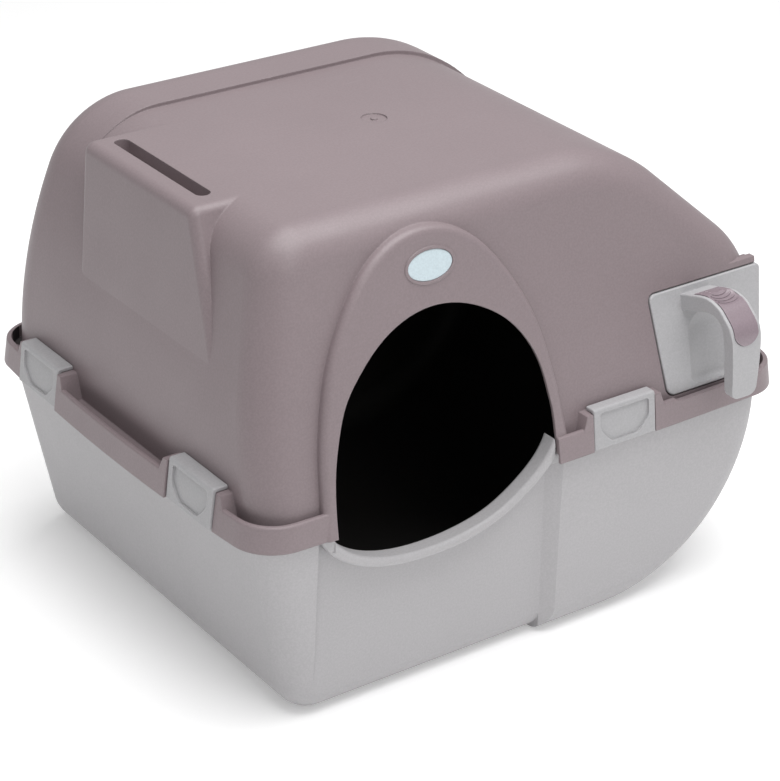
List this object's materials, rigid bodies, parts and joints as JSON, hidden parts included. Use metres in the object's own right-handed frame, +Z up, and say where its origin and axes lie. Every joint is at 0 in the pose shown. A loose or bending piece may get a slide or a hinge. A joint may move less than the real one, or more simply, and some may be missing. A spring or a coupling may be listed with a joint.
{
  "type": "self-cleaning litter box",
  "caption": "Covered litter box with domed hood, arched entrance, inner sieve grill and pull-out waste tray; rolled over and back it sifts clumps into the tray. Clips lock hood to base.",
  "frame": {"origin": "on the floor, below the middle of the rim's rectangle", "axes": "+Z up, entrance and tray front face -Y, tray end is at +X"},
  "size_m": [0.5839, 0.5038, 0.428],
  "materials": {
    "hood_plastic": "warm grey, satin moulded, fine grain",
    "base_plastic": "light cool grey, satin moulded, fine grain",
    "clip_plastic": "light cool grey, satin moulded",
    "tray_plastic": "light cool grey, satin moulded",
    "trough_plastic": "light cool grey, satin moulded",
    "latch_plastic": "warm grey, satin moulded",
    "grill_plastic": "warm grey, satin moulded",
    "inner_plastic": "warm grey, satin moulded",
    "badge_plastic": "blank, satin",
    "pin_steel": "drawn wire, bright",
    "screw_steel": "zinc plated",
    "spring_steel": "spring wire"
  },
  "bodies": {
    "box": {"base_shell": "base_plastic", "hood_shell": "hood_plastic", "clip_hinge_pins": "pin_steel", "sieve_grill": "grill_plastic", "tray_rail_left": "inner_plastic", "tray_rail_right": "inner_plastic", "clump_guide": "inner_plastic", "inner_screws": "screw_steel", "oval_badge": "badge_plastic"},
    "clip_front_body": {"clip_front": "clip_plastic"},
    "clip_left_front_body": {"clip_left_front": "clip_plastic"},
    "clip_left_rear_body": {"clip_left_rear": "clip_plastic"},
    "clip_back_right_body": {"clip_back_right": "clip_plastic"},
    "clip_back_left_body": {"clip_back_left": "clip_plastic"},
    "tray": {"tray_trough": "trough_plastic", "tray_front": "tray_plastic", "tray_screws": "screw_steel", "latch_pin": "pin_steel", "latch_spring": "spring_steel"},
    "latch": {"tray_latch": "latch_plastic"}
  },
  "joints": [
    {"name": "clip_front_hinge", "type": "hinge", "parent": "box", "child": "clip_front_body", "pos_m": [0.092, -0.2254, 0.1836], "axis": [1, 0, 0], "range_deg": [0, 75]},
    {"name": "clip_left_front_hinge", "type": "hinge", "parent": "box", "child": "clip_left_front_body", "pos_m": [-0.2822, -0.128, 0.1836], "axis": [0, -1, 0], "range_deg": [0, 75]},
    {"name": "clip_left_rear_hinge", "type": "hinge", "parent": "box", "child": "clip_left_rear_body", "pos_m": [-0.2822, 0.128, 0.1836], "axis": [0, -1, 0], "range_deg": [0, 75]},
    {"name": "clip_back_right_hinge", "type": "hinge", "parent": "box", "child": "clip_back_right_body", "pos_m": [0.092, 0.2254, 0.1836], "axis": [-1, 0, 0], "range_deg": [0, 75]},
    {"name": "clip_back_left_hinge", "type": "hinge", "parent": "box", "child": "clip_back_left_body", "pos_m": [-0.092, 0.2254, 0.1836], "axis": [-1, 0, 0], "range_deg": [0, 75]},
    {"name": "tray_slide", "type": "slide", "parent": "box", "child": "tray", "axis": [0, -1, 0], "range_m": [0, 0.4]},
    {"name": "latch_press", "type": "hinge", "parent": "tray", "child": "latch", "pos_m": [0.188, -0.2619, 0.2756], "axis": [-1, 0, 0], "range_deg": [0, 3], "stiffness_Nm_per_rad": 0.15, "springref_deg": -5.73, "deforming": ["latch_spring"]}
  ]
}
